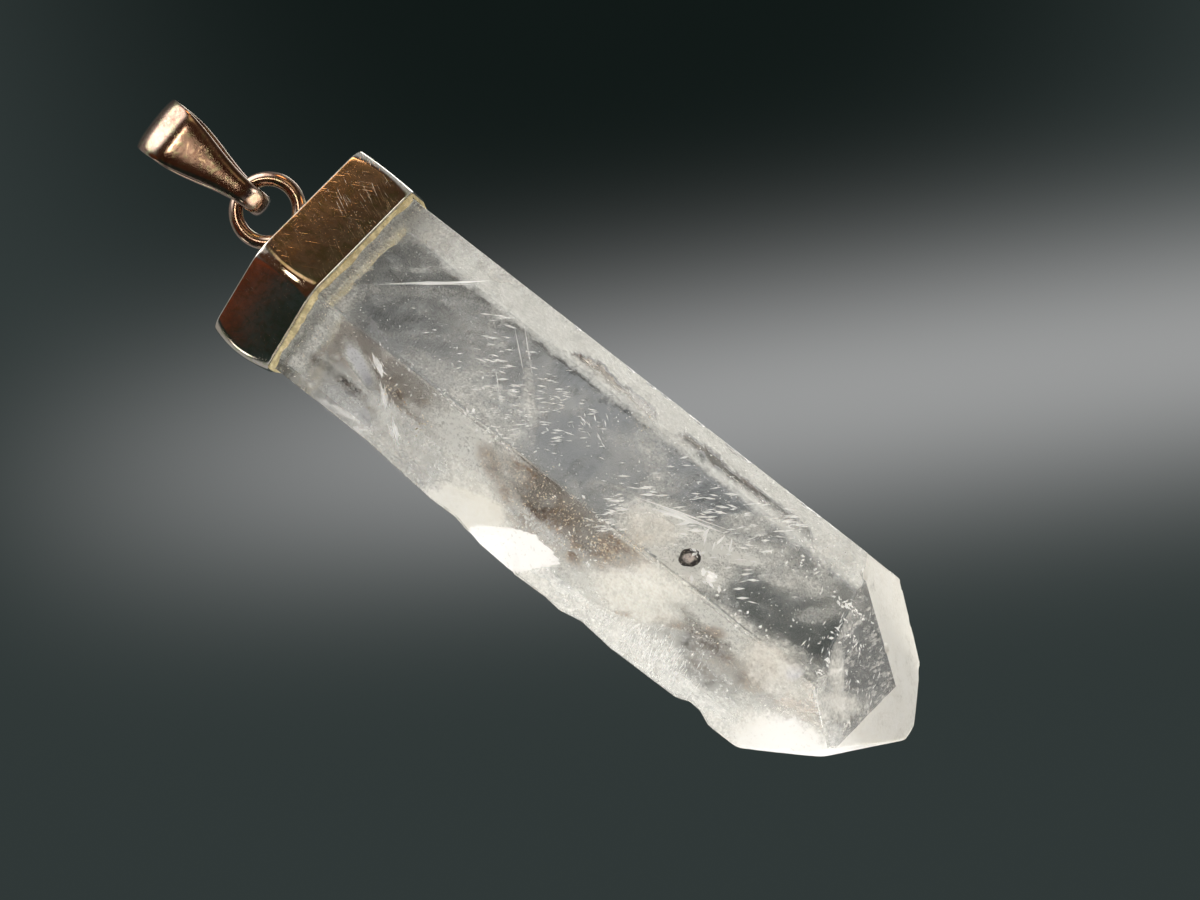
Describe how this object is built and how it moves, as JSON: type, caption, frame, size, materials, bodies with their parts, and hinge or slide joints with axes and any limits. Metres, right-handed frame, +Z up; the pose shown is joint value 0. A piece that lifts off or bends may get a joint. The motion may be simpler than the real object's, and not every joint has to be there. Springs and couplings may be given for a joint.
{
  "type": "quartz crystal pendant",
  "caption": "Natural clear quartz point in a six-sided polished silver cap, with a soldered wire ring and a tapered bail for a chain.",
  "frame": {"origin": "middle of the chain's way through the upper round of the bail", "axes": "+Z up along the hanging pendant, +X along the chain's way through the bail, -Y the front"},
  "size_m": [0.0135, 0.0112, 0.0555],
  "materials": {
    "silver": "polished silver with fine scratches and light tarnish in its corners",
    "glue": "yellowed clear cement",
    "quartz": "natural clear quartz with veils, fractures, wisps and a little iron stain"
  },
  "bodies": {
    "bail": {"bail": "silver"},
    "drop": {"cap": "silver", "glue_line": "glue", "crystal": "quartz"}
  },
  "joints": [
    {"name": "drop_swing", "type": "hinge", "parent": "bail", "child": "drop", "pos_m": [0, 0, -0.0045], "axis": [1, 0, 0], "range_deg": [-100, 100]}
  ]
}
